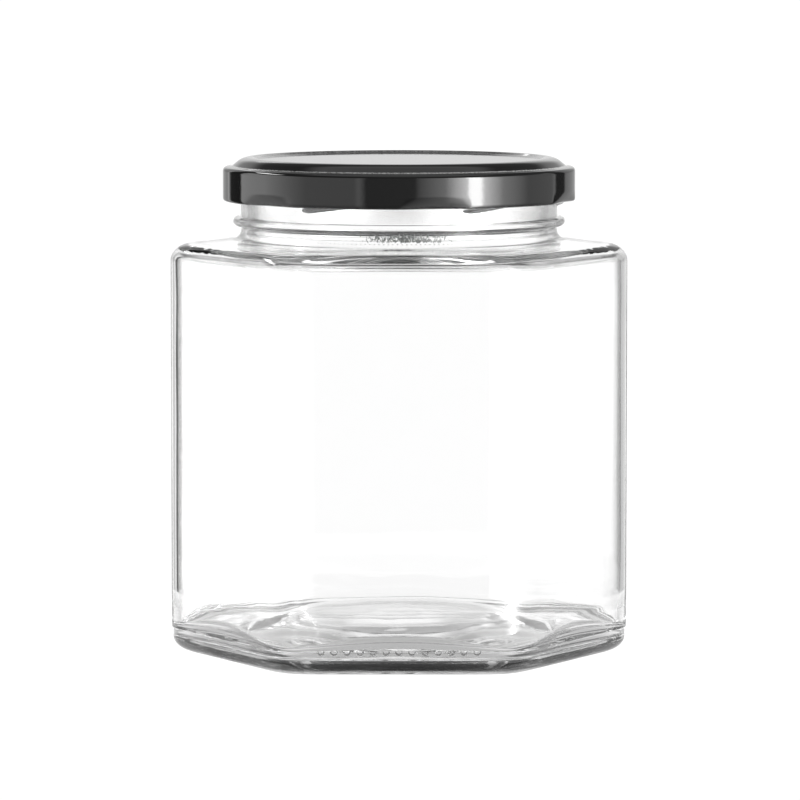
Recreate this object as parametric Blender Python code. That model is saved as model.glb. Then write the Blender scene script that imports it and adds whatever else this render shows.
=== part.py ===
"""Hexagonal glass preserving jar with a pressed steel twist-off cap, closed.

The jar is one piece of glass: a six-sided body with soft corners, a sloping
shoulder, a round neck with a transfer bead and six short threads, and a thick
base with a pushed-up middle. The cap is one piece of sheet steel with a
raised sealing channel round its panel, and six lugs pressed in from its curl.

Metres, +Z up. The origin is under the middle of the base, one flat face of
the body is toward -Y and two of its corners are on the X axis.
"""

import math

import bmesh
import bpy
from mathutils import Matrix, Vector

# Body of the jar. A reach is a distance from the axis, to the middle of a
# face or to a corner.
FACE_REACH = 0.0496
CORNER_REACH = 0.05515
SHOULDER_EDGE_HEIGHT = 0.0985
SHOULDER_RISE = 0.00178
SHOULDER_FACE_ROUND = 0.0035
SHOULDER_CORNER_ROUND = 0.0054

# Base of the jar.
SEAM_HEIGHT = 0.0051
SEAM_STEP = 0.0002
HEEL_ROUND = 0.0047
BEARING_WIDTH = 0.0030
PUSH_UP_SLOPE = 0.0022
PUSH_UP_EDGE_HEIGHT = 0.0012
PUSH_UP_RING_HEIGHT = 0.0018
PUSH_UP_HEIGHT = 0.0020

# Neck of the jar, up to its rim and down into its mouth.
NECK_REACH = 0.0384
NECK_ROOT_ROUND = 0.0010
BEAD_REACH = 0.0400
BEAD_HEIGHT = 0.1044
BEAD_HALF = 0.0014
RIM_HEIGHT = 0.1189
RIM_OUTER_ROUND = 0.0013
RIM_INNER_ROUND = 0.0010
MOUTH_REACH = 0.0357

# Inside of the jar.
FACE_WALL = 0.0024
CORNER_WALL = 0.0019
SHOULDER_WALL = 0.0025
MOUTH_FOOT_ROUND = 0.0018
INNER_SHOULDER_ROUND = 0.0030
INNER_HEEL_ROUND = 0.0050
FLOOR_HEIGHT = 0.0060
FLOOR_RING_HEIGHT = 0.0062
FLOOR_CROWN_HEIGHT = 0.0064

# Threads on the neck. The lead-in and run-out are shares of a thread's length.
THREAD_COUNT = 6
THREAD_START = math.radians(-90 - 37)
THREAD_SPAN = math.radians(53)
THREAD_START_HEIGHT = 0.10885
THREAD_RISE = 0.0044
THREAD_REACH = 0.0402
THREAD_HALF = 0.0011
THREAD_ROOT = 0.0006
THREAD_LEAD_IN = 0.08
THREAD_LEAD_SIZE = 0.35
THREAD_RUN_OUT = 0.30
THREAD_RUN_OUT_SIZE = 0.25

# Cap.
CAP_REACH = 0.04255
CAP_BOTTOM = 0.1092
CAP_TOP = 0.1196
CAP_SHEET = 0.00035
PANEL_REACH = 0.0335
PANEL_DEPTH = 0.0009
CHANNEL_INNER = 0.0355
CHANNEL_OUTER = 0.0379
STEP_REACH = 0.0408
STEP_DEPTH = 0.0019
SHOULDER_DEPTH = 0.0023
PRESSED_ROUND = 0.0010
SKIRT_ROUND = 0.0007
CURL_HEIGHT = 0.0013
CURL_WIDTH = 0.0012

# Lugs in the cap's curl, each with a dent in the skirt outside it.
LUG_COUNT = 6
LUG_ANGLE = math.radians(-90 + 11.5)
LUG_HALF_ANGLE = math.radians(10.5)
LUG_INWARD = 0.0019
LUG_END_SHARPNESS = 0.7
DENT_DEPTH = 0.0009
DENT_HEIGHT = 0.0019

# Facets.
SIDES = 6
FACE_STEPS = 6
CORNER_STEPS = 6
HEEL_STEPS = 5
BEAD_STEPS = 6
ROUND_STEPS = 4
RIM_STEPS = 3
CAP_STEPS_PER_LUG = 14
CAP_OUTSIDE_STEPS = 2
CAP_INSIDE_STEPS = 1
THREAD_STEPS = 12
THREAD_POINTS = 8
SMOOTH_BELOW = math.radians(35)

SECTOR = math.tau / SIDES
HALF_SECTOR = SECTOR / 2
CORNER_RATIO = 1 / math.cos(HALF_SECTOR)
LEAST_FACE_HALF_ANGLE = HALF_SECTOR * FACE_STEPS / (FACE_STEPS + CORNER_STEPS)


def clear_scene():
    for thing in list(bpy.data.objects):
        bpy.data.objects.remove(thing, do_unlink=True)


def make_material(name, colour, roughness, transmission=0.0, index=1.5):
    material = bpy.data.materials.new(name)
    material.use_nodes = True
    shader = material.node_tree.nodes["Principled BSDF"]
    shader.inputs["Base Color"].default_value = (*colour, 1.0)
    shader.inputs["Roughness"].default_value = roughness
    shader.inputs["Metallic"].default_value = 0.0
    shader.inputs["Transmission Weight"].default_value = transmission
    shader.inputs["IOR"].default_value = index
    return material


def polar(reach, angle, height):
    return Vector((reach * math.cos(angle), reach * math.sin(angle), height))


def rounded_outline(corners, steps=ROUND_STEPS):
    """A polyline through (reach, height, round) corners, with an arc at each corner that has a round."""
    outline = []
    for index, (reach, height, fillet) in enumerate(corners):
        corner = Vector((reach, height))
        if fillet == 0:
            outline.append(corner)
            continue
        before = (Vector(corners[index - 1][:2]) - corner).normalized()
        after = (Vector(corners[index + 1][:2]) - corner).normalized()
        half_angle = before.angle(after) / 2
        centre = corner + (before + after).normalized() * fillet / math.sin(half_angle)
        first_spoke = corner + before * fillet / math.tan(half_angle) - centre
        last_spoke = corner + after * fillet / math.tan(half_angle) - centre
        turn = -first_spoke.angle_signed(last_spoke)
        for step in range(steps + 1):
            outline.append(centre + Matrix.Rotation(turn * step / steps, 2) @ first_spoke)
    return outline


def hexagon_section(face_reach, corner_reach, height):
    """A closed ring of points: a hexagon with round corners, or a circle where both reaches agree."""
    corner_round = (face_reach * CORNER_RATIO - corner_reach) / (CORNER_RATIO - 1)
    round_centre = (face_reach - corner_round) * CORNER_RATIO
    half_face = (face_reach - corner_round) * math.tan(HALF_SECTOR)
    face_limit = math.atan2(half_face, face_reach)
    face_half_angle = max(face_limit, LEAST_FACE_HALF_ANGLE)
    corner_half_angle = HALF_SECTOR - face_half_angle
    face_offsets = [
        face_half_angle * (2 * step / FACE_STEPS - 1) for step in range(FACE_STEPS)
    ]
    corner_offsets = [
        face_half_angle + 2 * corner_half_angle * step / CORNER_STEPS
        for step in range(CORNER_STEPS)
    ]
    points = []
    for side in range(SIDES):
        for offset in face_offsets + corner_offsets:
            from_face = min(abs(offset), SECTOR - offset)
            if from_face <= face_limit:
                reach = face_reach / math.cos(from_face)
            else:
                from_corner = HALF_SECTOR - from_face
                across = round_centre * math.sin(from_corner)
                along = math.sqrt(corner_round**2 - across**2)
                reach = round_centre * math.cos(from_corner) + along
            points.append(polar(reach, side * SECTOR - math.pi / 2 + offset, height))
    return points


def extrude_ring(mesh, ring, points):
    """Extrudes a ring of vertices once and puts the new vertices at the given points."""
    edges = [mesh.edges.get((vertex, ring[index - 1])) for index, vertex in enumerate(ring)]
    made = bmesh.ops.extrude_edge_only(mesh, edges=edges)["geom"]
    new_vertices = {item for item in made if isinstance(item, bmesh.types.BMVert)}
    new_ring = []
    for vertex, point in zip(ring, points):
        neighbours = (edge.other_vert(vertex) for edge in vertex.link_edges)
        partner = next(other for other in neighbours if other in new_vertices)
        partner.co = point
        new_ring.append(partner)
    return new_ring


def close_ring(mesh, ring, middle_height=None):
    """Closes a ring with a fan of triangles, whose middle may stand at another height."""
    cap = mesh.faces.new(ring)
    middle = bmesh.ops.poke(mesh, faces=[cap])["verts"][0]
    if middle_height is not None:
        middle.co.z = middle_height


def loft(name, rings, first_middle=None, last_middle=None):
    """A closed solid through rings of points, each ring extruded from the one before it."""
    mesh = bmesh.new()
    first_ring = [mesh.verts.new(point) for point in rings[0]]
    for index, vertex in enumerate(first_ring):
        mesh.edges.new((vertex, first_ring[index - 1]))
    last_ring = first_ring
    for points in rings[1:]:
        last_ring = extrude_ring(mesh, last_ring, points)
    close_ring(mesh, first_ring, first_middle)
    close_ring(mesh, last_ring, last_middle)
    bmesh.ops.recalc_face_normals(mesh, faces=mesh.faces)
    data = bpy.data.meshes.new(name)
    mesh.to_mesh(data)
    mesh.free()
    solid = bpy.data.objects.new(name, data)
    bpy.context.scene.collection.objects.link(solid)
    return solid


def paired_sections(face_outline, corner_outline):
    """Sections (face reach, corner reach, height) from two outlines with as many points as each other."""
    return [
        (face.x, corner.x, (face.y + corner.y) / 2)
        for face, corner in zip(face_outline, corner_outline)
    ]


def outside_outline(reach, shoulder_round):
    """The outside of the glass in one direction, from its push-up to the foot of the bead."""
    bearing = reach - SEAM_STEP - HEEL_ROUND
    push_up = bearing - BEARING_WIDTH
    heel_centre = Vector((bearing, HEEL_ROUND))
    heel = [
        heel_centre + Matrix.Rotation(math.pi / 2 * step / HEEL_STEPS, 2) @ Vector((0, -HEEL_ROUND))
        for step in range(1, HEEL_STEPS + 1)
    ]
    underside = [
        (push_up / 2, PUSH_UP_RING_HEIGHT, 0),
        (push_up - PUSH_UP_SLOPE, PUSH_UP_EDGE_HEIGHT, 0),
        (push_up, 0, 0),
        (bearing, 0, 0),
    ]
    side = [
        (reach - SEAM_STEP, SEAM_HEIGHT - SEAM_STEP, 0),
        (reach, SEAM_HEIGHT, 0),
        (reach, SHOULDER_EDGE_HEIGHT, shoulder_round),
        (NECK_REACH, SHOULDER_EDGE_HEIGHT + SHOULDER_RISE, NECK_ROOT_ROUND),
        (NECK_REACH, BEAD_HEIGHT - BEAD_HALF, 0),
    ]
    return rounded_outline(underside) + heel + rounded_outline(side)


def inside_outline(reach):
    """The inside of the glass in one direction, from the foot of the mouth to the floor."""
    corners = [
        (MOUTH_REACH, BEAD_HEIGHT, 0),
        (MOUTH_REACH, SHOULDER_EDGE_HEIGHT + SHOULDER_RISE - SHOULDER_WALL, MOUTH_FOOT_ROUND),
        (reach, SHOULDER_EDGE_HEIGHT - SHOULDER_WALL, INNER_SHOULDER_ROUND),
        (reach, FLOOR_HEIGHT, INNER_HEEL_ROUND),
        (reach / 2, FLOOR_RING_HEIGHT, 0),
    ]
    return rounded_outline(corners)[1:]


def neck_outline():
    """The bead, the rim and the bore of the mouth, which are round."""
    bead = [
        Vector(
            (
                NECK_REACH + (BEAD_REACH - NECK_REACH) * math.sqrt(math.sin(turn)),
                BEAD_HEIGHT - BEAD_HALF * math.cos(turn),
            )
        )
        for turn in (math.pi * step / BEAD_STEPS for step in range(1, BEAD_STEPS))
    ]
    rim = [
        (NECK_REACH, BEAD_HEIGHT + BEAD_HALF, 0),
        (NECK_REACH, RIM_HEIGHT, RIM_OUTER_ROUND),
        (MOUTH_REACH, RIM_HEIGHT, RIM_INNER_ROUND),
        (MOUTH_REACH, BEAD_HEIGHT, 0),
    ]
    return bead + rounded_outline(rim, RIM_STEPS)


def thread_rib(index):
    """One short raised thread: a half-round rib on the neck that climbs to the right."""
    rings = []
    for step in range(THREAD_STEPS + 1):
        along = step / THREAD_STEPS
        angle = THREAD_START + index * math.tau / THREAD_COUNT + THREAD_SPAN * along
        height = THREAD_START_HEIGHT + THREAD_RISE * along
        lead_in = THREAD_LEAD_SIZE + (1 - THREAD_LEAD_SIZE) * along / THREAD_LEAD_IN
        run_out = THREAD_RUN_OUT_SIZE + (1 - THREAD_RUN_OUT_SIZE) * (1 - along) / THREAD_RUN_OUT
        size = min(1.0, lead_in, run_out)
        ring = []
        for point in range(THREAD_POINTS):
            turn = math.tau * (point + 0.5) / THREAD_POINTS
            outward = (THREAD_REACH - NECK_REACH) * size * math.cos(turn)
            reach = NECK_REACH + max(outward, -THREAD_ROOT)
            ring.append(polar(reach, angle, height + THREAD_HALF * size * math.sin(turn)))
        rings.append(ring)
    return loft(f"thread_{index}", rings)


def join_threads(jar):
    """Unites the six threads with the neck, so that the glass stays one solid."""
    threads = bpy.data.collections.new("threads")
    for index in range(THREAD_COUNT):
        threads.objects.link(thread_rib(index))
    union = jar.modifiers.new("threads", "BOOLEAN")
    union.operation = "UNION"
    union.operand_type = "COLLECTION"
    union.collection = threads
    union.solver = "EXACT"
    graph = bpy.context.evaluated_depsgraph_get()
    joined = bpy.data.meshes.new_from_object(jar.evaluated_get(graph))
    jar.modifiers.clear()
    jar.data = joined
    for rib in list(threads.objects):
        bpy.data.objects.remove(rib, do_unlink=True)
    bpy.data.collections.remove(threads)


def make_jar():
    outside = paired_sections(
        outside_outline(FACE_REACH, SHOULDER_FACE_ROUND),
        outside_outline(CORNER_REACH, SHOULDER_CORNER_ROUND),
    )
    neck = paired_sections(neck_outline(), neck_outline())
    inside = paired_sections(
        inside_outline(FACE_REACH - FACE_WALL),
        inside_outline(CORNER_REACH - CORNER_WALL),
    )
    rings = [hexagon_section(*section) for section in outside + neck + inside]
    jar = loft("jar", rings, PUSH_UP_HEIGHT, FLOOR_CROWN_HEIGHT)
    join_threads(jar)
    glass = make_material("clear glass", (0.97, 0.98, 0.98), 0.02, transmission=1.0, index=1.52)
    jar.data.materials.append(glass)
    return jar


def lug_share(angle):
    """1 in the middle of a lug, falling to 0 at its ends."""
    spacing = math.tau / LUG_COUNT
    from_lug = abs((angle - LUG_ANGLE + spacing / 2) % spacing - spacing / 2)
    if from_lug >= LUG_HALF_ANGLE:
        return 0.0
    return math.cos(from_lug / LUG_HALF_ANGLE * math.pi / 2) ** LUG_END_SHARPNESS


def cap_outline():
    """(reach, height, inward) along the cap's sheet: over the panel, down the skirt and back inside.

    The inward value is how far a lug pushes that point toward the axis.
    """
    panel_height = CAP_TOP - PANEL_DEPTH
    outer_face = [
        (PANEL_REACH, panel_height, 0),
        (CHANNEL_INNER, CAP_TOP, PRESSED_ROUND),
        (CHANNEL_OUTER, CAP_TOP, PRESSED_ROUND),
        (STEP_REACH, CAP_TOP - STEP_DEPTH, PRESSED_ROUND),
        (CAP_REACH, CAP_TOP - SHOULDER_DEPTH, SKIRT_ROUND),
        (CAP_REACH, CAP_BOTTOM + DENT_HEIGHT, 0),
    ]
    inner_face = [
        (CAP_REACH - CAP_SHEET, CAP_BOTTOM + DENT_HEIGHT, 0),
        (CAP_REACH - CAP_SHEET, CAP_TOP - SHOULDER_DEPTH - CAP_SHEET, SKIRT_ROUND / 2),
        (STEP_REACH, CAP_TOP - STEP_DEPTH - CAP_SHEET, PRESSED_ROUND),
        (CHANNEL_OUTER, CAP_TOP - CAP_SHEET, PRESSED_ROUND),
        (CHANNEL_INNER, CAP_TOP - CAP_SHEET, PRESSED_ROUND),
        (PANEL_REACH, panel_height - CAP_SHEET, 0),
    ]
    curl_inner = CAP_REACH - CURL_WIDTH
    curl = [
        (CAP_REACH, CAP_BOTTOM + CURL_HEIGHT * 0.7, DENT_DEPTH * 0.7),
        (CAP_REACH - CURL_WIDTH * 0.1, CAP_BOTTOM + CURL_HEIGHT * 0.25, DENT_DEPTH),
        (CAP_REACH - CURL_WIDTH * 0.4, CAP_BOTTOM, DENT_DEPTH),
        (curl_inner, CAP_BOTTOM + CURL_HEIGHT * 0.25, LUG_INWARD),
        (curl_inner, CAP_BOTTOM + CURL_HEIGHT * 0.75, LUG_INWARD),
        (curl_inner + CURL_WIDTH * 0.4, CAP_BOTTOM + CURL_HEIGHT, DENT_DEPTH),
    ]
    above = [(*point, 0.0) for point in rounded_outline(outer_face, CAP_OUTSIDE_STEPS)]
    below = [(*point, 0.0) for point in rounded_outline(inner_face, CAP_INSIDE_STEPS)]
    return above + curl + below


def make_lid():
    steps = LUG_COUNT * CAP_STEPS_PER_LUG
    angles = [LUG_ANGLE + math.tau * step / steps for step in range(steps)]
    rings = [
        [polar(reach - inward * lug_share(angle), angle, height) for angle in angles]
        for reach, height, inward in cap_outline()
    ]
    lid = loft("lid", rings)
    lid.data.materials.append(make_material("black lacquer", (0.012, 0.012, 0.013), 0.18))
    return lid


def smooth(solid):
    solid.data.shade_smooth()
    solid.data.set_sharp_from_angle(angle=SMOOTH_BELOW)


clear_scene()
smooth(make_jar())
smooth(make_lid())
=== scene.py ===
import math

import bpy
from mathutils import Matrix, Vector


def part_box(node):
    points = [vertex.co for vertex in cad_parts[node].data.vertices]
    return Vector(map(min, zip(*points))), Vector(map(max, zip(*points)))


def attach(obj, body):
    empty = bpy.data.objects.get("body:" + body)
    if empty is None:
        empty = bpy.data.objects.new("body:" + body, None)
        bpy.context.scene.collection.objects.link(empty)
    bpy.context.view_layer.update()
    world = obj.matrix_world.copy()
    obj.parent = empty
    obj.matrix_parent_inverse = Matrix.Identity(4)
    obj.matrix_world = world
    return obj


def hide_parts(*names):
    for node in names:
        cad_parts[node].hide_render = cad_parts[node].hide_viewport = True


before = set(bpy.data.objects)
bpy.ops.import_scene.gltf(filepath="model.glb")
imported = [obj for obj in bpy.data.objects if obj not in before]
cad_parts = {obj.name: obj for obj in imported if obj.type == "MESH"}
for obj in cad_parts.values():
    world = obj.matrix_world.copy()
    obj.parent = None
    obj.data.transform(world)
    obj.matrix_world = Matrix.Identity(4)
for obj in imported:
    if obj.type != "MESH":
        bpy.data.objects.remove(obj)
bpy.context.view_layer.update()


# The jar
# One piece of clear soda-lime glass, blown in a mould: six flat sides with soft corners, a low
# shoulder, and a round neck with a bead and six short threads. The base is pushed up inside a
# flat bearing ring, and the inside follows the outside less exactly than a mould would make it.

jar_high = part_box("jar")[1]
FACE_REACH = jar_high.y
CORNER_REACH = jar_high.x
RIM_HEIGHT = jar_high.z

SIDES = 6
HALF_SECTOR = math.pi / SIDES
CORNER_RATIO = 1 / math.cos(HALF_SECTOR)
JAR_COLUMNS = 342
CORNER_CROWDING = 0.45

SHOULDER_EDGE_HEIGHT = RIM_HEIGHT - 0.02035
SHOULDER_RISE = 0.00172
SHOULDER_BULGE = -0.00021
SHOULDER_BULGE_ROUND = 0.01834
SHOULDER_FACE_ROUND = 0.00318
SHOULDER_CORNER_ROUND = 0.00529

SEAM_HEIGHT = 0.00581
SEAM_STEP = 0.00037
SEAM_ROUND = 0.0001
HEEL_HEIGHT = 0.00362
FACE_HEEL_WIDTH = 0.00447
CORNER_HEEL_WIDTH = 0.00479
BEARING_WIDTH = 0.00187
PUSH_UP_FOOT_ROUND = 0.00102
PUSH_UP_SLOPE = 0.00154
PUSH_UP_EDGE_HEIGHT = 0.00334
PUSH_UP_EDGE_ROUND = 0.00289
PUSH_UP_RING_REACH = 0.03366
PUSH_UP_RING_HEIGHT = 0.00515
PUSH_UP_RING_ROUND = 0.0613
PUSH_UP_HEIGHT = 0.00621

NECK_REACH = 0.03817
NECK_ROOT_ROUND = 0.00227
BEAD_REACH = 0.04007
BEAD_HEIGHT = RIM_HEIGHT - 0.01461
BEAD_HALF = 0.00113
BEAD_SHARPNESS = 0.6
RIM_OUTER_ROUND = 0.0013
RIM_INNER_ROUND = 0.0010
MOUTH_REACH = 0.03518
MOUTH_FOOT_HEIGHT = RIM_HEIGHT - 0.0173
MOUTH_FOOT_ROUND = 0.00045
THROAT_REACH = 0.03628
THROAT_ROUND = 0.00276

FACE_WALL = 0.002
CORNER_WALL = 0.00211
SHOULDER_WALL = 0.00187
INNER_SHOULDER_DROP = 0.00244
INNER_SHOULDER_ROUND = 0.0019
LOW_WALL_HEIGHT = 0.013
LOW_WALL_ROUND = 0.03639
LOW_FACE_WALL = 0.00268
LOW_CORNER_WALL = 0.003
FACE_INNER_HEEL_ROUND = 0.00437
CORNER_INNER_HEEL_ROUND = 0.00172
FLOOR_HEIGHT = 0.0052
FLOOR_RING_REACH = 0.02367
FLOOR_RING_HEIGHT = 0.00962
FLOOR_RING_ROUND = 0.07819
FLOOR_CROWN_HEIGHT = 0.01127
WAVE_SCALE = 55.0
WAVE_DEPTH = 0.00026
WAVE_BOTTOM = 0.012
WAVE_TOP = SHOULDER_EDGE_HEIGHT - 0.008
FLOOR_WAVE_SCALE = 110.0
FLOOR_WAVE_DEPTH = 0.00015
FLOOR_WAVE_REACH = 0.040

THREAD_START = math.radians(-90 - 37)
THREAD_SPAN = math.radians(53)
THREAD_START_HEIGHT = RIM_HEIGHT - 0.01005
THREAD_RISE = 0.0044
THREAD_DEPTH = 0.0018
THREAD_HALF = 0.0011
THREAD_SKIN = 0.0012
THREAD_LEAD_IN = 0.07
THREAD_RUN_OUT = 0.30

EDGE_SUPPORT = 0.00025
HEEL_STEPS = 16
BEAD_STEPS = 16
SEAM_GAP = 2e-6
SHARPEST_CORNER = 0.985
ROUND_TO_HEXAGON = (1.02, 1.08)

GLASS_CLEARNESS = 0.989
PLATE_EDGE = (0.0030, 0.0060)
NECK_MATT_HEIGHT = 0.1000
# Painted shade on the outside of the heel: how far in from the flats it reaches, and the heights of its
# band.
HEEL_SHADE_WIDTH = 0.0052
HEEL_SHADE_HEIGHTS = (0.0006, 0.0014, 0.0028, 0.0040)


class Socket:
    """An output of a node. Arithmetic on it adds Math nodes, and ["Name"] is another output of its node."""

    def __init__(self, tree, output):
        self.tree = tree
        self.output = output

    def __getitem__(self, name):
        return Socket(self.tree, self.output.node.outputs[name])

    def __add__(self, other):
        return self.tree.maths("ADD", self, other)

    __radd__ = __add__

    def __sub__(self, other):
        return self.tree.maths("SUBTRACT", self, other)

    def __rsub__(self, other):
        return self.tree.maths("SUBTRACT", other, self)

    def __mul__(self, other):
        return self.tree.maths("MULTIPLY", self, other)

    __rmul__ = __mul__

    def __truediv__(self, other):
        return self.tree.maths("DIVIDE", self, other)

    def __rtruediv__(self, other):
        return self.tree.maths("DIVIDE", other, self)

    def __pow__(self, other):
        return self.tree.maths("POWER", self, other)


class Tree:
    """A node tree while it is built."""

    def __init__(self, made_tree):
        self.made_tree = made_tree

    def node(self, kind, settings=None, values=None):
        """Adds a node, sets it, fills its inputs with values or links, and returns its first output."""
        node = self.made_tree.nodes.new(kind)
        for name, value in (settings or {}).items():
            if name == "stops":
                elements = node.color_ramp.elements
                while len(elements) < len(value):
                    elements.new(1.0)
                for element, (position, level) in zip(elements, value):
                    element.position = position
                    element.color = (level, level, level, 1.0)
            else:
                setattr(node, name, value)
        for key, value in (values or {}).items():
            if isinstance(value, Socket):
                self.made_tree.links.new(value.output, node.inputs[key])
            else:
                node.inputs[key].default_value = value
        return Socket(self, node.outputs[0]) if node.outputs else node

    def maths(self, operation, *numbers):
        return self.node("ShaderNodeMath", {"operation": operation}, dict(enumerate(numbers)))

    def step_up(self, value, low, high):
        """0 below low, 1 above high, and a smooth rise between them."""
        return self.node(
            "ShaderNodeMapRange",
            {"interpolation_type": "SMOOTHSTEP"},
            {"Value": value, "From Min": low, "From Max": high},
        )

    def band(self, value, start, full, fading, end):
        """0 below start, 1 from full to fading, and 0 again above end."""
        return self.step_up(value, start, full) * (1 - self.step_up(value, fading, end))

    def noise(self, place, scale, detail=1.0):
        return self.node("ShaderNodeTexNoise", values={"Vector": place, "Scale": scale, "Detail": detail})

    def stretched(self, place, factors):
        return self.node("ShaderNodeVectorMath", {"operation": "MULTIPLY"}, {0: place, 1: factors})

    def round_place(self, reach, angle, height):
        """The place at this reach from the axis, this angle round it and this height."""
        return self.node(
            "ShaderNodeCombineXYZ",
            values={
                "X": reach * self.maths("COSINE", angle),
                "Y": reach * self.maths("SINE", angle),
                "Z": height,
            },
        )


class ShapeTree(Tree):
    """A Geometry Nodes tree with named sizes, and what turns its result into a plain mesh."""

    def __init__(self, name):
        super().__init__(bpy.data.node_groups.new(name, "GeometryNodeTree"))
        sockets = self.made_tree.interface
        sockets.new_socket("Geometry", in_out="INPUT", socket_type="NodeSocketGeometry")
        sockets.new_socket("Geometry", in_out="OUTPUT", socket_type="NodeSocketGeometry")
        self.entry = self.made_tree.nodes.new("NodeGroupInput")
        self.start = Socket(self, self.entry.outputs["Geometry"])
        self.sizes = {}

    def size(self, name, value):
        kind = "NodeSocketInt" if isinstance(value, int) else "NodeSocketFloat"
        socket = self.made_tree.interface.new_socket(name, in_out="INPUT", socket_type=kind)
        self.sizes[socket.identifier] = value
        return Socket(self, self.entry.outputs[name])

    def point_value(self, name):
        return self.node("GeometryNodeInputNamedAttribute", {"data_type": "FLOAT"}, {"Name": name})

    def join(self, *shapes):
        joint = self.node("GeometryNodeJoinGeometry")
        for shape in shapes:
            self.made_tree.links.new(shape.output, joint.output.node.inputs[0])
        return joint

    def make(self, name, start_mesh, result, material):
        """Runs the tree on a mesh and returns the result as an object of plain mesh."""
        result = self.node("GeometryNodeRealizeInstances", values={"Geometry": result})
        result = self.node(
            "GeometryNodeSetMaterial", values={"Geometry": result, "Material": material}
        )
        self.node("NodeGroupOutput", values={"Geometry": result})
        piece = bpy.data.objects.new(name, start_mesh)
        bpy.context.scene.collection.objects.link(piece)
        modifier = piece.modifiers.new(name, "NODES")
        modifier.node_group = self.made_tree
        for identifier, value in self.sizes.items():
            modifier[identifier] = value
        graph = bpy.context.evaluated_depsgraph_get()
        mesh = bpy.data.meshes.new_from_object(piece.evaluated_get(graph))
        piece.modifiers.clear()
        piece.data = mesh
        return piece


def new_material(name):
    """An empty material and its node tree."""
    material = bpy.data.materials.new(name)
    material.use_nodes = True
    material.node_tree.nodes.clear()
    return material, Tree(material.node_tree)


def outline(*corners):
    """A polyline through (reach, height, round, steps, extra) corners. The last three may be left out.

    A corner with a round gets an arc of that many steps. A short support edge on each side of the arc
    keeps its smooth shading off the flats. Then come the extra points, evenly on the way to the next.
    """
    points = []
    extra_points = 0
    for index, (reach, height, *more) in enumerate(corners):
        fillet, steps, extra = more + [0, 8, 0][len(more):]
        corner = Vector((reach, height))
        own_points = [corner]
        if fillet:
            before = Vector(corners[index - 1][:2]) - corner
            after = Vector(corners[index + 1][:2]) - corner
            half_angle = before.angle(after) / 2
            cut = fillet / math.tan(half_angle)
            support = min(EDGE_SUPPORT, before.length / 8, after.length / 8)
            before.normalize()
            after.normalize()
            centre = corner + (before + after).normalized() * fillet / math.sin(half_angle)
            first_spoke = corner + before * cut - centre
            turn = -first_spoke.angle_signed(corner + after * cut - centre)
            own_points = [
                centre + Matrix.Rotation(turn * step / steps, 2) @ first_spoke
                for step in range(steps + 1)
            ]
            own_points.insert(0, corner + before * (cut + support))
            own_points.append(corner + after * (cut + support))
        for step in range(extra_points):
            points.append(last_point.lerp(own_points[0], (step + 1) / (extra_points + 1)))
        points += own_points
        last_point = own_points[-1]
        extra_points = extra
    return points


def jar_outside(reach, heel_width, shoulder_round):
    """The outside of the glass in one direction, from the middle of its push-up to the bead's foot."""
    bearing = reach - SEAM_STEP - heel_width
    push_up = bearing - BEARING_WIDTH
    underside = outline(
        (0, PUSH_UP_HEIGHT),
        (PUSH_UP_RING_REACH, PUSH_UP_RING_HEIGHT, PUSH_UP_RING_ROUND),
        (push_up - PUSH_UP_SLOPE, PUSH_UP_EDGE_HEIGHT, PUSH_UP_EDGE_ROUND),
        (push_up, 0, PUSH_UP_FOOT_ROUND),
        (bearing, 0),
    )
    heel = []
    for step in range(1, HEEL_STEPS + 1):
        turn = math.pi / 2 * step / HEEL_STEPS
        out = heel_width * math.sin(turn)
        heel.append(Vector((bearing + out, HEEL_HEIGHT * (1 - math.cos(turn)))))
    bulge_height = SHOULDER_EDGE_HEIGHT + SHOULDER_RISE / 2 + SHOULDER_BULGE
    side = outline(
        (reach - SEAM_STEP, SEAM_HEIGHT - SEAM_STEP, SEAM_ROUND, 2),
        (reach, SEAM_HEIGHT, SEAM_ROUND, 2, 8),
        (reach, SHOULDER_EDGE_HEIGHT, shoulder_round, 12, 3),
        ((reach + NECK_REACH) / 2, bulge_height, SHOULDER_BULGE_ROUND, 4, 3),
        (NECK_REACH, SHOULDER_EDGE_HEIGHT + SHOULDER_RISE, NECK_ROOT_ROUND, 10),
        (NECK_REACH, BEAD_HEIGHT - BEAD_HALF),
    )
    return underside + heel + side


def jar_neck():
    """The bead, the threaded finish, the rim and the bore of the mouth, which are round."""
    bead = []
    for step in range(1, BEAD_STEPS):
        turn = math.pi * step / BEAD_STEPS
        swell = (BEAD_REACH - NECK_REACH) * math.sin(turn) ** BEAD_SHARPNESS
        bead.append(Vector((NECK_REACH + swell, BEAD_HEIGHT - BEAD_HALF * math.cos(turn))))
    return bead + outline(
        (NECK_REACH, BEAD_HEIGHT + BEAD_HALF, 0, 0, 44),
        (NECK_REACH, RIM_HEIGHT, RIM_OUTER_ROUND, 7),
        (MOUTH_REACH, RIM_HEIGHT, RIM_INNER_ROUND, 7, 3),
        (MOUTH_REACH, BEAD_HEIGHT),
    )


def jar_inside(reach, wall, low_wall, heel_round):
    """The inside of the glass in one direction, from the mouth's foot to the middle of the floor."""
    points = outline(
        (MOUTH_REACH, BEAD_HEIGHT),
        (MOUTH_REACH, MOUTH_FOOT_HEIGHT, MOUTH_FOOT_ROUND, 3),
        (THROAT_REACH, SHOULDER_EDGE_HEIGHT + SHOULDER_RISE - SHOULDER_WALL, THROAT_ROUND, 10, 3),
        (reach - wall, SHOULDER_EDGE_HEIGHT - INNER_SHOULDER_DROP, INNER_SHOULDER_ROUND, 8, 24),
        (reach - wall, LOW_WALL_HEIGHT, LOW_WALL_ROUND, 6),
        (reach - low_wall, FLOOR_HEIGHT, heel_round, 8, 2),
        (FLOOR_RING_REACH, FLOOR_RING_HEIGHT, FLOOR_RING_ROUND, 10),
        (0, FLOOR_CROWN_HEIGHT),
    )
    return points[1:]


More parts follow.
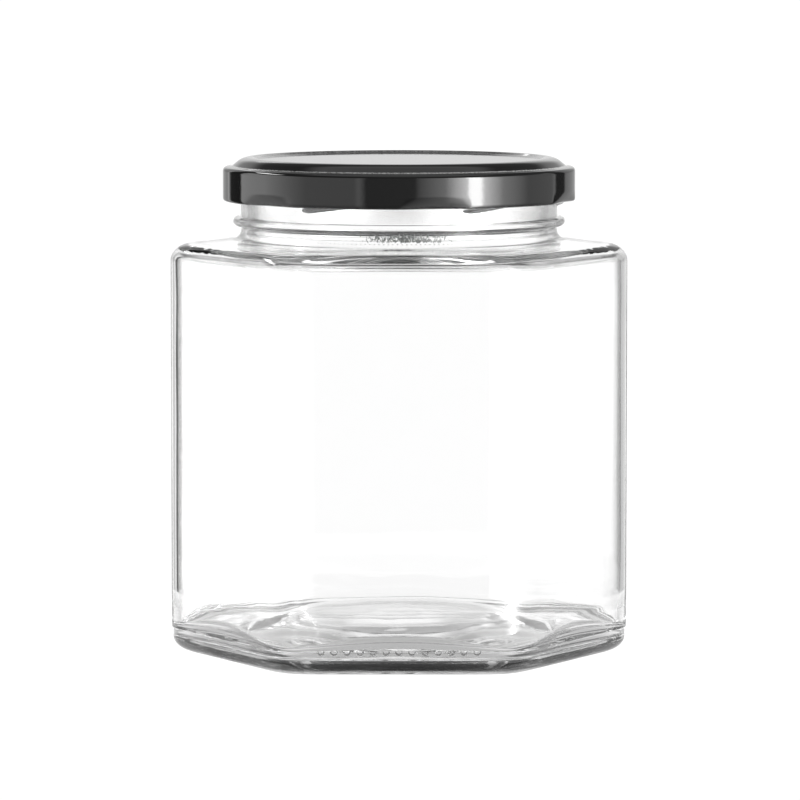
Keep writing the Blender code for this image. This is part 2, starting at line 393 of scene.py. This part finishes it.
def profile_mesh(name, columns_of_values):
    """A mesh of loose points that only carries the values of each row of a piece."""
    mesh = bpy.data.meshes.new(name)
    rows = len(next(iter(columns_of_values.values())))
    mesh.from_pydata([(0.0, 0.0, 0.0)] * rows, [], [])
    for value_name, values in columns_of_values.items():
        mesh.attributes.new(value_name, "FLOAT", "POINT").data.foreach_set("value", values)
    return mesh


def turned_grid(tree, rows, columns, crowding, sides):
    """A grid to be bent round the axis: its shape, the angle of each point, and a reader of row values."""
    across = tree.size("Columns", columns)
    grid = tree.node(
        "GeometryNodeMeshGrid",
        values={"Vertices X": tree.size("Rows", rows), "Vertices Y": across + 1},
    )
    index = tree.node("GeometryNodeInputIndex")
    row = tree.maths("FLOOR", (index + 0.5) / (across + 1))
    column = index - row * (across + 1)
    even = column / across * math.tau
    crowd = tree.size("Crowding", crowding)
    angle = even + crowd * tree.maths("SINE", even * sides) / sides

    def row_value(name):
        return tree.node(
            "GeometryNodeSampleIndex",
            {"data_type": "FLOAT", "domain": "POINT"},
            {"Geometry": tree.start, "Value": tree.point_value(name), "Index": row},
        )

    return grid, angle, row_value


def bend_grid(tree, grid, reach, angle, height):
    """Puts each point of the grid at its reach, angle and height, and closes the seam and the poles."""
    place = tree.round_place(reach, angle, height)
    bent = tree.node("GeometryNodeSetPosition", values={"Geometry": grid, "Position": place})
    return tree.node("GeometryNodeMergeByDistance", values={"Geometry": bent, "Distance": SEAM_GAP})


def hexagon_reach(tree, from_face, to_corner, face_reach, corner_reach):
    """The reach of a hexagon with round corners, at an angle from the middle of its nearest side.

    The corners turn in gradually from the flats. Where both reaches are nearly the same it is a circle.
    """
    ratio = tree.maths("MINIMUM", corner_reach / face_reach, SHARPEST_CORNER * CORNER_RATIO)
    sharpness = math.log(2) / tree.maths("LOGARITHM", CORNER_RATIO / ratio, math.e)
    own_side = tree.maths("COSINE", from_face) ** sharpness
    next_side = tree.maths("COSINE", 2 * HALF_SECTOR - from_face) ** sharpness
    hexagon = face_reach / (own_side + next_side) ** (1 / sharpness)
    circle = face_reach + to_corner * (corner_reach - face_reach)
    share = tree.step_up(ratio, *ROUND_TO_HEXAGON)
    return circle + share * (hexagon - circle)


def light_through(tree, values):
    """The glass shader with these values, and plain straight light through it for shadows."""
    values = values | {"IOR": 1.52, "Transmission Weight": 1.0}
    glass = tree.node("ShaderNodeBsdfPrincipled", values=values)
    clear = tree.node("ShaderNodeBsdfTransparent", values={"Color": (0.96, 0.97, 0.965, 1.0)})
    is_shadow = tree.node("ShaderNodeLightPath")["Is Shadow Ray"]
    both = tree.node("ShaderNodeMixShader", values={0: is_shadow, 1: glass, 2: clear})
    tree.node("ShaderNodeOutputMaterial", values={"Surface": both})


def clear_glass():
    """Soda-lime glass with a fire-polished skin that ripples a little along the walls.

    The mould's bottom plate leaves a fine grain, and the cooler neck ring a slightly matt skin.
    The heel's outside is painted a streaky grey: painted shade for the dark band that the thick heel shows
    edge on.
    """
    material, tree = new_material("clear_glass")
    place = tree.node("ShaderNodeTexCoord")["Object"]
    parts = tree.node("ShaderNodeSeparateXYZ", values={"Vector": place})
    height = parts["Z"]
    on_plate = 1 - tree.step_up(height, *PLATE_EDGE)
    on_neck = tree.step_up(height, NECK_MATT_HEIGHT, NECK_MATT_HEIGHT + 0.001)
    above_bead = tree.step_up(height, BEAD_HEIGHT + BEAD_HALF, BEAD_HEIGHT + BEAD_HALF + 0.0004)

    # The painted shade lies on the outside of the heel only, not on the push-up behind it.
    across = tree.maths("ABSOLUTE", parts["Y"])
    for side in (-1, 1):
        slanted = parts["X"] * (side * math.cos(HALF_SECTOR)) + parts["Y"] * math.sin(HALF_SECTOR)
        across = tree.maths("MAXIMUM", across, tree.maths("ABSOLUTE", slanted))
    heel_shade_mask = tree.step_up(across, FACE_REACH - HEEL_SHADE_WIDTH, FACE_REACH - HEEL_SHADE_WIDTH + 0.001)
    heel_shade_mask = heel_shade_mask * tree.band(height, *HEEL_SHADE_HEIGHTS)
    shade_streaks = tree.noise(tree.stretched(place, (0.3, 0.3, 2.5)), 700.0, 2.0)
    # Painted shade: the heel's glass is greyed in streaks.
    painted_heel_shade = heel_shade_mask * (1.34 - 0.74 * shade_streaks)

    ripple = tree.noise(tree.stretched(place, (1.0, 1.0, 0.2)), 110.0, 2.0)
    grain = tree.noise(place, 1400.0) * on_plate
    speckle = tree.noise(place, 2600.0) * on_neck
    bump = tree.node(
        "ShaderNodeBump",
        values={
            "Height": ripple + grain * 0.06 + speckle * 0.05,
            "Strength": 0.094,
            "Distance": 0.0004,
        },
    )
    light_through(
        tree,
        {
            "Base Color": tree.maths("MAXIMUM", GLASS_CLEARNESS - painted_heel_shade, 0.02),
            "Roughness": 0.05 * on_neck + 0.13 * above_bead,
            "Normal": bump,
        },
    )
    return material


outside = [
    jar_outside(FACE_REACH, FACE_HEEL_WIDTH, SHOULDER_FACE_ROUND),
    jar_outside(CORNER_REACH, CORNER_HEEL_WIDTH, SHOULDER_CORNER_ROUND),
]
inside = [
    jar_inside(FACE_REACH, FACE_WALL, LOW_FACE_WALL, FACE_INNER_HEEL_ROUND),
    jar_inside(CORNER_REACH, CORNER_WALL, LOW_CORNER_WALL, CORNER_INNER_HEEL_ROUND),
]
neck = jar_neck()


def even_heights(lines):
    return [(face.y + corner.y) / 2 for face, corner in zip(*lines)]


face_line = outside[0] + neck + inside[0]
corner_line = outside[1] + neck + inside[1]
jar_rows = profile_mesh(
    "jar_rows",
    {
        "face_reach": [point.x for point in face_line],
        "corner_reach": [point.x for point in corner_line],
        "face_height": even_heights(outside) + [point.y for point in neck + inside[0]],
        "corner_height": even_heights(outside) + [point.y for point in neck + inside[1]],
        "threaded": [0.0] * len(outside[0])
        + [float(point.x > MOUTH_REACH + THREAD_SKIN) for point in neck]
        + [0.0] * len(inside[0]),
        "wall_wave": [0.0] * len(outside[0] + neck)
        + [float(WAVE_BOTTOM < point.y < WAVE_TOP) for point in inside[0]],
        "floor_wave": [0.0] * len(outside[0] + neck)
        + [float(point.y < WAVE_BOTTOM and point.x < FLOOR_WAVE_REACH) for point in inside[0]],
    },
)

tree = ShapeTree("jar_glass")
grid, angle, row_value = turned_grid(
    tree, len(face_line), JAR_COLUMNS, CORNER_CROWDING, SIDES
)
from_face = tree.maths("PINGPONG", angle, HALF_SECTOR)
to_corner = 0.5 - 0.5 * tree.maths("COSINE", from_face * SIDES)
reach = hexagon_reach(tree, from_face, to_corner, row_value("face_reach"), row_value("corner_reach"))
face_height = row_value("face_height")
height = face_height + to_corner * (row_value("corner_height") - face_height)
angle = angle - math.pi / 2

span = tree.size("Thread span", THREAD_SPAN)
start = tree.size("Thread start", THREAD_START)
past_start = tree.maths("FLOORED_MODULO", angle - start, 2 * HALF_SECTOR)
along = past_start / span
lead_in = tree.step_up(along, 0.0, tree.size("Thread lead-in", THREAD_LEAD_IN))
run_out = tree.step_up(1 - along, 0.0, tree.size("Thread run-out", THREAD_RUN_OUT))
full = lead_in * run_out
rise = tree.size("Thread rise", THREAD_RISE) * along
middle = tree.size("Thread start height", THREAD_START_HEIGHT) + rise
half = tree.size("Thread half width", THREAD_HALF) * (full * 0.5 + 0.5)
off_middle = tree.maths("MINIMUM", tree.maths("ABSOLUTE", height - middle) / half, 1.0)
swell = tree.size("Thread depth", THREAD_DEPTH) * full * (1 - off_middle * off_middle) ** 0.7
reach = reach + swell * row_value("threaded")

# The inside was shaped by air alone, so its walls and its floor wander a little.
place = tree.round_place(reach, angle, height * 0.35)
wall_wave = tree.noise(place, tree.size("Wall wave scale", WAVE_SCALE))
floor_wave = tree.noise(place, tree.size("Floor wave scale", FLOOR_WAVE_SCALE))
wall_depth = tree.size("Wall wave depth", WAVE_DEPTH) * row_value("wall_wave")
floor_depth = tree.size("Floor wave depth", FLOOR_WAVE_DEPTH) * row_value("floor_wave")
reach = reach + wall_depth * (wall_wave - 0.5)
height = height + floor_depth * (floor_wave - 0.5)

glass_shape = bend_grid(tree, grid, reach, angle, height)
glass_shape = tree.node("GeometryNodeFlipFaces", values={"Mesh": glass_shape})
glass_shape = tree.node("GeometryNodeSetShadeSmooth", values={"Geometry": glass_shape})
jar = tree.make("glass_jar", jar_rows, glass_shape, clear_glass())
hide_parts("jar")
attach(jar, "root")


# The marks in the glass
# Small crescents that the mould's bottom plate leaves in a row along the foot of the front, and
# a worn band of stipple on the front of the neck, between the bead and the shoulder.

CRESCENT_COUNT = 13
CRESCENT_PITCH = 0.00305
CRESCENT_WIDTH = 0.0015
CRESCENT_DROP = 0.0008
CRESCENT_LINE = 0.0002
CRESCENT_HEIGHT = 0.0060
CRESCENT_SINK = 0.0006
STIPPLE_MIDDLE = math.radians(-90 + 3)
STIPPLE_SPREAD = math.radians(17)
STIPPLE_HEIGHT = 0.1021
STIPPLE_BAND = 0.0008
STIPPLE_COUNT = 230
STIPPLE_SINK = 0.0003
STIPPLE_SEED = 7
SPECK_RADIUS = 0.00017
SPECK_LEAN = 1.6
SPECK_STRETCH = 2.2
DOT_START = math.radians(-90 - 30)
DOT_PITCH = math.radians(1.64)
DOT_COUNT = 31
DOT_HEIGHT = 0.1006


def worn_glass():
    """Rough glass, where the marks have been rubbed, and greyed in uneven patches."""
    material, tree = new_material("worn_glass")
    patches = tree.noise(tree.node("ShaderNodeTexCoord")["Object"], 900.0)
    light_through(tree, {"Base Color": 0.15 + 0.45 * patches, "Roughness": 0.3})
    return material


def at_neck(tree, angle, height):
    """A place just under the skin of the neck."""
    return tree.round_place(NECK_REACH - STIPPLE_SINK, angle, height)


marks_material = worn_glass()
tree = ShapeTree("foot_crescents")
arc = tree.node(
    "GeometryNodeCurveArc",
    {"mode": "RADIUS"},
    {"Resolution": 9, "Radius": 1.0, "Start Angle": math.pi, "Sweep Angle": math.pi},
)
stretch = tree.node(
    "ShaderNodeCombineXYZ",
    values={
        "X": tree.size("Crescent width", CRESCENT_WIDTH) / 2,
        "Y": tree.size("Crescent drop", CRESCENT_DROP),
        "Z": 1.0,
    },
)
arc = tree.node(
    "GeometryNodeTransform",
    values={"Geometry": arc, "Rotation": (math.pi / 2, 0.0, 0.0), "Scale": stretch},
)
round_wire = tree.node(
    "GeometryNodeCurvePrimitiveCircle",
    {"mode": "RADIUS"},
    {"Resolution": 6, "Radius": tree.size("Crescent line", CRESCENT_LINE)},
)
crescent = tree.node(
    "GeometryNodeCurveToMesh",
    values={"Curve": arc, "Profile Curve": round_wire, "Fill Caps": True},
)
crescent_count = tree.size("Crescents in the row", CRESCENT_COUNT)
pitch = tree.size("Crescent pitch", CRESCENT_PITCH)
row_start = tree.node(
    "ShaderNodeCombineXYZ",
    values={
        "X": (crescent_count - 1) * pitch * -0.5,
        "Y": CRESCENT_SINK - FACE_REACH,
        "Z": CRESCENT_HEIGHT,
    },
)
row_places = tree.node(
    "GeometryNodeMeshLine",
    {"mode": "OFFSET"},
    {
        "Count": crescent_count,
        "Start Location": row_start,
        "Offset": tree.node("ShaderNodeCombineXYZ", values={"X": pitch}),
    },
)
crescent_row = tree.node(
    "GeometryNodeInstanceOnPoints", values={"Points": row_places, "Instance": crescent}
)
crescents = tree.make("foot_crescents", bpy.data.meshes.new("foot_crescents"), crescent_row, marks_material)
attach(crescents, "root")


def three_chances(tree, name, seed):
    """Three random numbers from 0 to 1 for each point, as X, Y and Z."""
    seed = tree.size(name, seed)
    chance = tree.node("FunctionNodeRandomValue", {"data_type": "FLOAT_VECTOR"}, {"Seed": seed})
    return tree.node("ShaderNodeSeparateXYZ", values={"Vector": chance})


tree = ShapeTree("neck_stipple")
chances = three_chances(tree, "Seed", STIPPLE_SEED)
other_chances = three_chances(tree, "Other seed", STIPPLE_SEED + 1)
aside = (chances["X"] + chances["Y"] - 1) * tree.size("Stipple spread", STIPPLE_SPREAD)
band = tree.size("Stipple band", STIPPLE_BAND)
stipple_place = at_neck(tree, STIPPLE_MIDDLE + aside, STIPPLE_HEIGHT + (2 * chances["Z"] - 1) * band)
speck = tree.node("GeometryNodeMeshUVSphere", values={"Segments": 6, "Rings": 4, "Radius": SPECK_RADIUS})
tilt = tree.node("ShaderNodeCombineXYZ", values={"Y": (other_chances["X"] - 0.5) * SPECK_LEAN})
length = 1.0 + SPECK_STRETCH * other_chances["Y"]
specks = tree.node(
    "GeometryNodeInstanceOnPoints",
    values={
        "Points": tree.node(
            "GeometryNodePoints",
            values={"Count": tree.size("Stipple count", STIPPLE_COUNT), "Position": stipple_place},
        ),
        "Instance": speck,
        "Rotation": tree.node("FunctionNodeEulerToRotation", values={0: tilt}),
        "Scale": tree.node("ShaderNodeCombineXYZ", values={"X": 1.0, "Y": 1.0, "Z": length}),
    },
)
dot_angle = DOT_START + tree.node("GeometryNodeInputIndex") * tree.size("Dot pitch", DOT_PITCH)
dots = tree.node(
    "GeometryNodeInstanceOnPoints",
    values={
        "Points": tree.node(
            "GeometryNodePoints",
            values={
                "Count": tree.size("Dots", DOT_COUNT),
                "Position": at_neck(tree, dot_angle, DOT_HEIGHT),
            },
        ),
        "Instance": speck,
    },
)
both_bands = tree.join(specks, dots)
stipple = tree.make("neck_stipple", bpy.data.meshes.new("neck_stipple"), both_bands, marks_material)
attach(stipple, "root")


# The lid
# A twist-off cap pressed from tinplate about 0.18 mm thick, stove-lacquered gloss black. A raised
# channel runs round its panel over the rim, and its curled edge is pressed in at six lugs.

lid_low, lid_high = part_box("lid")
CAP_REACH = lid_high.x
CAP_BOTTOM = lid_low.z
CAP_TOP = lid_high.z
CAP_SHEET = 0.00035
PANEL_REACH = 0.0341
PANEL_DEPTH = 0.0005
PANEL_ROUND = 0.0008
CHANNEL_INNER = 0.0353
CHANNEL_OUTER = 0.0378
STEP_REACH = 0.0403
STEP_DEPTH = 0.00205
SHOULDER_DEPTH = 0.00231
INNER_ROUND = 0.0006
OUTER_ROUND = 0.0042
STEP_ROUND = 0.0012
SKIRT_ROUND = 0.0011
CURL_HEIGHT = 0.0013
CURL_WIDTH = 0.0012
CURL_TURN = math.radians(-250)
CURL_STEPS = 14
LUG_ANGLE = math.radians(-90 + 11.5)
LUG_HALF_ANGLE = math.radians(12)
LUG_INWARD = 0.0019
DENT_DEPTH = 0.0009
DENT_HEIGHT = 0.0029
LUG_COUNT = 6
LID_COLUMNS = 480
# Painted highlights: how pale the lines in the groove and on the channel's inner side are.
GROOVE_HIGHLIGHT = 0.30
INNER_SIDE_HIGHLIGHT = 0.20


def lid_outline():
    """The cap's sheet: from the middle over the channel, down the skirt, round the curl and back."""
    panel_height = CAP_TOP - PANEL_DEPTH
    curl_middle = Vector((CAP_REACH - CURL_WIDTH / 2, CAP_BOTTOM + CURL_HEIGHT / 2))
    above = outline(
        (0, panel_height),
        (PANEL_REACH, panel_height, PANEL_ROUND, 6),
        (CHANNEL_INNER, CAP_TOP, INNER_ROUND, 6),
        (CHANNEL_OUTER, CAP_TOP, OUTER_ROUND, 8),
        (STEP_REACH, CAP_TOP - STEP_DEPTH, STEP_ROUND, 6),
        (CAP_REACH, CAP_TOP - SHOULDER_DEPTH, SKIRT_ROUND, 8, 14),
        (CAP_REACH, CAP_BOTTOM + CURL_HEIGHT * 0.6),
    )
    curl = []
    for step in range(1, CURL_STEPS + 1):
        turn = CURL_TURN * step / CURL_STEPS
        spoke = Vector((CURL_WIDTH / 2 * math.cos(turn), CURL_HEIGHT / 2 * math.sin(turn)))
        curl.append(curl_middle + spoke)
    below = outline(
        (CAP_REACH - CAP_SHEET, CAP_BOTTOM + CURL_HEIGHT + 0.0004),
        (CAP_REACH - CAP_SHEET, CAP_TOP - SHOULDER_DEPTH - CAP_SHEET, SKIRT_ROUND / 2, 4),
        (STEP_REACH, CAP_TOP - STEP_DEPTH - CAP_SHEET, STEP_ROUND, 4),
        (CHANNEL_OUTER, CAP_TOP - CAP_SHEET, OUTER_ROUND, 4),
        (CHANNEL_INNER, CAP_TOP - CAP_SHEET, INNER_ROUND, 4),
        (PANEL_REACH, panel_height - CAP_SHEET, PANEL_ROUND, 4),
        (0, panel_height - CAP_SHEET),
    )
    return above + curl + below


def gloss_black():
    """Black stove lacquer on tinplate: a hard gloss that follows the faint orange peel under it.

    The speckled pale colour in the groove at the foot of the channel's slope and along its inner side is
    painted highlight: thin lines of light painted in where the lamps give none.
    """
    material, tree = new_material("gloss_black_lacquer")
    place = tree.node("ShaderNodeTexCoord")["Object"]
    peel = tree.noise(place, 900.0)
    bump = tree.node("ShaderNodeBump", values={"Height": peel, "Strength": 0.03, "Distance": 0.0002})
    flat = tree.stretched(place, (1.0, 1.0, 0.0))
    from_axis = tree.node("ShaderNodeVectorMath", {"operation": "LENGTH"}, {0: flat})["Value"]
    height = tree.node("ShaderNodeSeparateXYZ", values={"Vector": place})["Z"]
    in_groove = tree.band(
        from_axis, STEP_REACH - 0.0003, STEP_REACH - 0.0002, STEP_REACH + 0.0002, STEP_REACH + 0.0004
    )
    in_groove = in_groove * tree.step_up(height, CAP_TOP - 0.0026, CAP_TOP - 0.0025)
    on_inner = tree.band(
        from_axis, PANEL_REACH + 0.0002, PANEL_REACH + 0.0004, CHANNEL_INNER - 0.0004, CHANNEL_INNER - 0.0001
    )
    speckle = tree.step_up(tree.noise(place, 2500.0, 2.0), 0.25, 0.65)
    # Painted highlights: pale speckled lines in the groove and on the channel's inner side.
    painted_highlight = (GROOVE_HIGHLIGHT * in_groove + INNER_SIDE_HIGHLIGHT * on_inner) * speckle
    lacquer = tree.node(
        "ShaderNodeBsdfPrincipled",
        values={"Base Color": 0.004 + painted_highlight, "Roughness": 0.05, "IOR": 1.5, "Normal": bump},
    )
    tree.node("ShaderNodeOutputMaterial", values={"Surface": lacquer})
    return material


lid_line = lid_outline()
lug_push = []
for point in lid_line:
    above_bottom = (point.y - CAP_BOTTOM) / DENT_HEIGHT
    inward = (CAP_REACH - point.x) / CURL_WIDTH
    low = max(0.0, 1 - above_bottom) ** 1.5
    share = min(1.0, max(0.0, inward))
    lug_push.append(low * (DENT_DEPTH + (LUG_INWARD - DENT_DEPTH) * share))
lid_rows = profile_mesh(
    "lid_rows",
    {
        "reach": [point.x for point in lid_line],
        "height": [point.y for point in lid_line],
        "lug_push": lug_push,
    },
)

tree = ShapeTree("lid_cap")
grid, angle, row_value = turned_grid(tree, len(lid_line), LID_COLUMNS, 0.0, LUG_COUNT)
from_lug = tree.maths("PINGPONG", angle - tree.size("Lug angle", LUG_ANGLE), math.pi / LUG_COUNT)
off_lug = tree.maths("MINIMUM", from_lug / tree.size("Lug half angle", LUG_HALF_ANGLE), 1.0)
lug_share = tree.maths("COSINE", off_lug * (math.pi / 2)) ** 1.2
reach = row_value("reach") - row_value("lug_push") * lug_share
lid_shape = bend_grid(tree, grid, reach, angle, row_value("height"))
lid_shape = tree.node("GeometryNodeSetShadeSmooth", values={"Geometry": lid_shape})
lid = tree.make("black_lid", lid_rows, lid_shape, gloss_black())
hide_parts("lid")
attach(lid, "root")


# The table
# A round white light table that the jar stands on. It shines by itself, so the jar throws no
# shadow on it, as in the photograph. Its glow is dimmed under and just round the jar: a painted contact
# shadow, seen only through the glass, since the camera sees the table plain white.

TABLE_REACH = 0.13
TABLE_SIDES = 96
TABLE_DROP = 0.0002
# Painted contact shadow: the table's glow under the jar, fading out between the two reaches.
PAINTED_SHADOW_LEVEL = 0.47
OPEN_TABLE = 1.09
PAINTED_SHADOW_REACH = 0.0464
OPEN_TABLE_REACH = 0.0567
TABLE_FOR_CAMERA = 1.1

table_points = [(0.0, 0.0, -TABLE_DROP)]
table_faces = []
for step in range(TABLE_SIDES):
    turn = math.tau * step / TABLE_SIDES
    table_points.append((TABLE_REACH * math.cos(turn), TABLE_REACH * math.sin(turn), -TABLE_DROP))
    table_faces.append((0, step + 1, (step + 1) % TABLE_SIDES + 1))
table_mesh = bpy.data.meshes.new("table")
table_mesh.from_pydata(table_points, [], table_faces)
table = bpy.data.objects.new("table", table_mesh)
bpy.context.scene.collection.objects.link(table)

table_white, tree = new_material("lit_white_acrylic")
place = tree.node("ShaderNodeTexCoord")["Object"]
from_jar = tree.node("ShaderNodeVectorMath", {"operation": "LENGTH"}, {0: place})["Value"]
# Painted contact shadow: a dimmer glow under and just round the jar, for rays that come through the glass.
open_share = tree.step_up(from_jar, PAINTED_SHADOW_REACH, OPEN_TABLE_REACH)
brightness = PAINTED_SHADOW_LEVEL + (OPEN_TABLE - PAINTED_SHADOW_LEVEL) * open_share
is_camera = tree.node("ShaderNodeLightPath")["Is Camera Ray"]
brightness = brightness + is_camera * (TABLE_FOR_CAMERA - brightness)
light = tree.node("ShaderNodeEmission", values={"Color": brightness, "Strength": 1.0})
tree.node("ShaderNodeOutputMaterial", values={"Surface": light})
table_mesh.materials.append(table_white)


# The studio
# A white background behind the jar, a strip light with a wide soft glow to the right of the
# camera, a dimmer panel to its left, and gaps and a ceiling that stay dark. The camera itself
# sees plain white round the jar. The ceilings' heights are in degrees above the horizon.

SKY_FOR_CAMERA = 1.05
FRONT_CEILING = 18.3
BACK_CEILING = 24.0
CEILING_EDGE = 10.0
DIM_OVERHEAD = 0.15
BRIGHT_OVERHEAD = 0.80
LEFT_LAMP = 10.0
BACK_LAMP = 2.0
BRIGHTEST = 25.0

# Each direction, in degrees from the camera's and growing to its right, and how bright it is.
STUDIO = [
    (-172, 1.14),
    (-163, 0.62),
    (-151, 0.66),
    (-148, 1.25),
    (-143, 0.06),
    (-126.5, 0.06),
    (-124.5, 1.75),
    (-98, 2.6),
    (-86, 2.2),
    (-63, 1.15),
    (-29, 1.08),
    (-26, 1.7),
    (-24, 1.1),
    (-21, 0.30),
    (10.5, 0.29),
    (13, 1.05),
    (30, 3.0),
    (44.8, 12.0),
    (46.8, 24.0),
    (54.5, 24.0),
    (57, 11.5),
    (63, 7.6),
    (72, 3.2),
    (93, 0.85),
    (119, 0.68),
    (122, 1.1),
    (124.5, 0.05),
    (137, 0.05),
    (139.5, 0.62),
    (163, 0.62),
    (172, 1.14),
]
world = bpy.data.worlds.new("studio")
bpy.context.scene.world = world
world.use_nodes = True
world.node_tree.nodes.clear()
tree = Tree(world.node_tree)
direction = tree.node("ShaderNodeTexCoord")
parts = tree.node("ShaderNodeSeparateXYZ", values={"Vector": direction})
turn = tree.maths("ARCTAN2", parts["X"], 0 - parts["Y"]) / math.tau + 0.5
around = tree.node(
    "ShaderNodeValToRGB",
    {"stops": [((degrees + 180) / 360, level / BRIGHTEST) for degrees, level in STUDIO]},
    {"Fac": turn},
)
up = tree.maths("ARCSINE", parts["Z"]) * (180 / math.pi)
behind = tree.step_up(parts["Y"], 0.2, 0.6)
dimmed = behind * tree.band(up, 0.5, 2.2, 6.0, 12.0)
below = (1 - behind) * tree.step_up(0 - up, 5.0, 14.0)
around = around * BRIGHTEST * (1 - 0.21 * dimmed) * (1 - 0.45 * below)
ceiling = FRONT_CEILING + (BACK_CEILING - FRONT_CEILING) * behind
above_ceiling = tree.step_up(up - ceiling, 0.0, CEILING_EDGE)
overhead = DIM_OVERHEAD + (BRIGHT_OVERHEAD - DIM_OVERHEAD) * tree.step_up(up, 52.0, 62.0)
left_lamp = tree.band(parts["X"], -0.86, -0.80, -0.54, -0.50) * tree.band(up, 34.0, 36.0, 41.0, 43.0)
left_lamp = left_lamp * tree.step_up(parts["Y"], 0.08, 0.20)
back_lamp = tree.band(parts["X"], -0.20, -0.18, -0.11, -0.09) * tree.band(up, 20.0, 20.5, 22.5, 23.0)
back_lamp = back_lamp * behind

# The two small lamps are there for the cap's glints, so the glass doesn't gather them.
light_path = tree.node("ShaderNodeLightPath")
outside_glass = 1 - tree.step_up(light_path["Transmission Depth"], 0.5, 1.0)
lamps = (LEFT_LAMP * left_lamp + BACK_LAMP * back_lamp) * outside_glass
level = around * (1 - above_ceiling) + overhead * above_ceiling + lamps
is_camera = light_path["Is Camera Ray"]
level = level + is_camera * (SKY_FOR_CAMERA - level)
sky = tree.node("ShaderNodeBackground", values={"Color": (1.0, 1.0, 1.0, 1.0), "Strength": level})
tree.node("ShaderNodeOutputWorld", values={"Surface": sky})


# The camera
# A long lens about 1.4 m in front of the jar, a little above it and tipped down by five degrees.

PICTURE_PIXELS = 800
FOCAL_PIXELS = 5726.5
SHIFT_PIXELS = 1.0
SENSOR_WIDTH = 36.0
CAMERA_DISTANCE = 1.3802
CAMERA_HEIGHT = 0.18462
CAMERA_TIP = 0.0895

camera_data = bpy.data.cameras.new("camera")
camera_data.sensor_width = SENSOR_WIDTH
camera_data.lens = SENSOR_WIDTH * FOCAL_PIXELS / PICTURE_PIXELS
camera_data.shift_x = SHIFT_PIXELS / PICTURE_PIXELS
camera_data.clip_start = 0.1
camera_data.clip_end = 20.0
camera = bpy.data.objects.new("camera", camera_data)
camera.location = (0.0, -CAMERA_DISTANCE, CAMERA_HEIGHT)
camera.rotation_euler = (math.pi / 2 - CAMERA_TIP, 0.0, 0.0)
bpy.context.scene.collection.objects.link(camera)
bpy.context.scene.camera = camera

bpy.context.scene.view_settings.view_transform = "Standard"
light_paths = bpy.context.scene.cycles
light_paths.max_bounces = 32
light_paths.transmission_bounces = 32
light_paths.glossy_bounces = 16
light_paths.transparent_max_bounces = 32
